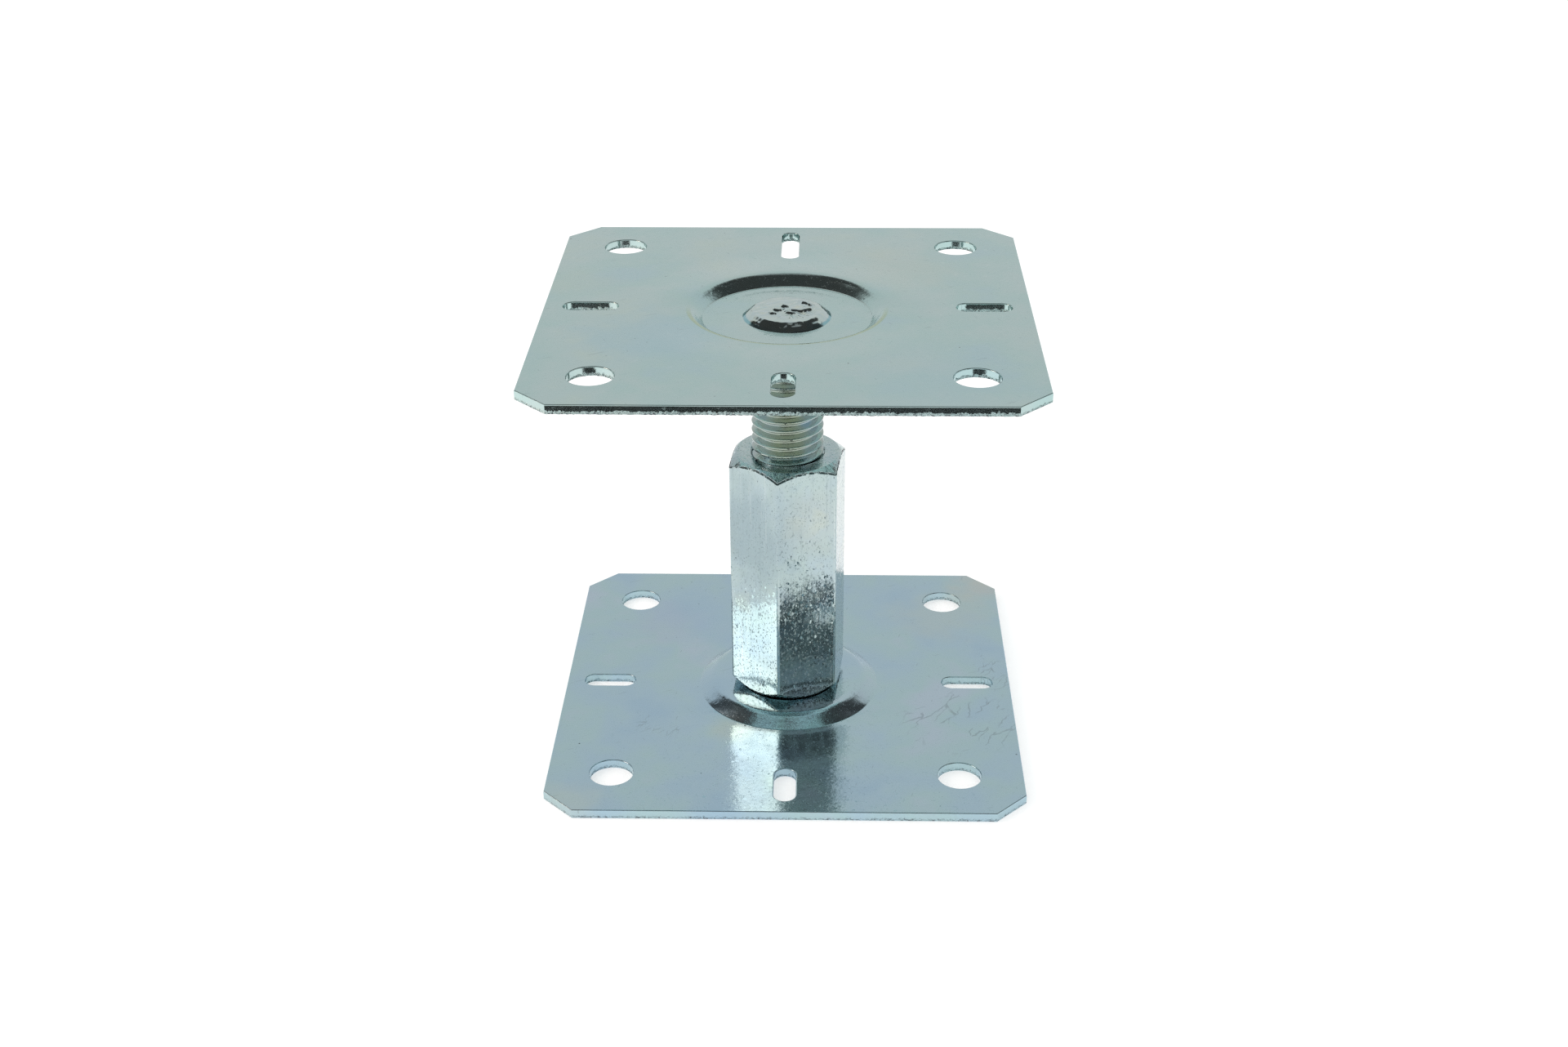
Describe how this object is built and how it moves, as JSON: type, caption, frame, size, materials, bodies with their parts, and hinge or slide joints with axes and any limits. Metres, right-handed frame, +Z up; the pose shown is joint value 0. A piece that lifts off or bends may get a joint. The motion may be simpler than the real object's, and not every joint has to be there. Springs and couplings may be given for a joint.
{
  "type": "adjustable post base",
  "caption": "Adjustable post base: drilled square base and top plates joined by a threaded stud and a hexagon sleeve that turns to raise or lower the top plate.",
  "frame": {"origin": "middle of the base plate's underside, where it meets the footing", "axes": "+Z up along the stud towards the top plate, X and Y along the plates' sides, -Y towards the side that the picture shows nearest, where the short slot is"},
  "size_m": [0.13, 0.13, 0.12],
  "materials": {
    "base_plate_zinc": "cold-rolled steel sheet, bright zinc-plated with a bluish tint, lightly scuffed",
    "sleeve_zinc": "drawn hexagon bar, bright zinc-plated, lengthways draw marks and small pits",
    "thread_zinc": "threaded steel rod, zinc-plated with a greenish yellow tint",
    "weld_zinc": "weld bead with wrinkles, zinc-plated over",
    "top_plate_zinc": "cold-rolled steel sheet, bright zinc-plated with a pale greenish tint, lightly scuffed"
  },
  "bodies": {
    "base": {"base_plate": "base_plate_zinc"},
    "sleeve": {"hex_sleeve": "sleeve_zinc"},
    "top": {"threaded_stud": "thread_zinc", "plug_weld": "weld_zinc", "top_plate": "top_plate_zinc"}
  },
  "joints": [
    {"name": "top_lift", "type": "slide", "parent": "base", "child": "top", "axis": [0, 0, 1], "range_m": [-0.02, 0.03]},
    {"name": "sleeve_turn", "type": "hinge", "parent": "base", "child": "sleeve", "pos_m": [0, 0, 0.0416], "axis": [0, 0, -1], "range_deg": [-2880, 4320]}
  ],
  "couplings": [
    {"joint": "sleeve_turn", "follows": "top_lift", "rad_per_m": 2513.3}
  ]
}
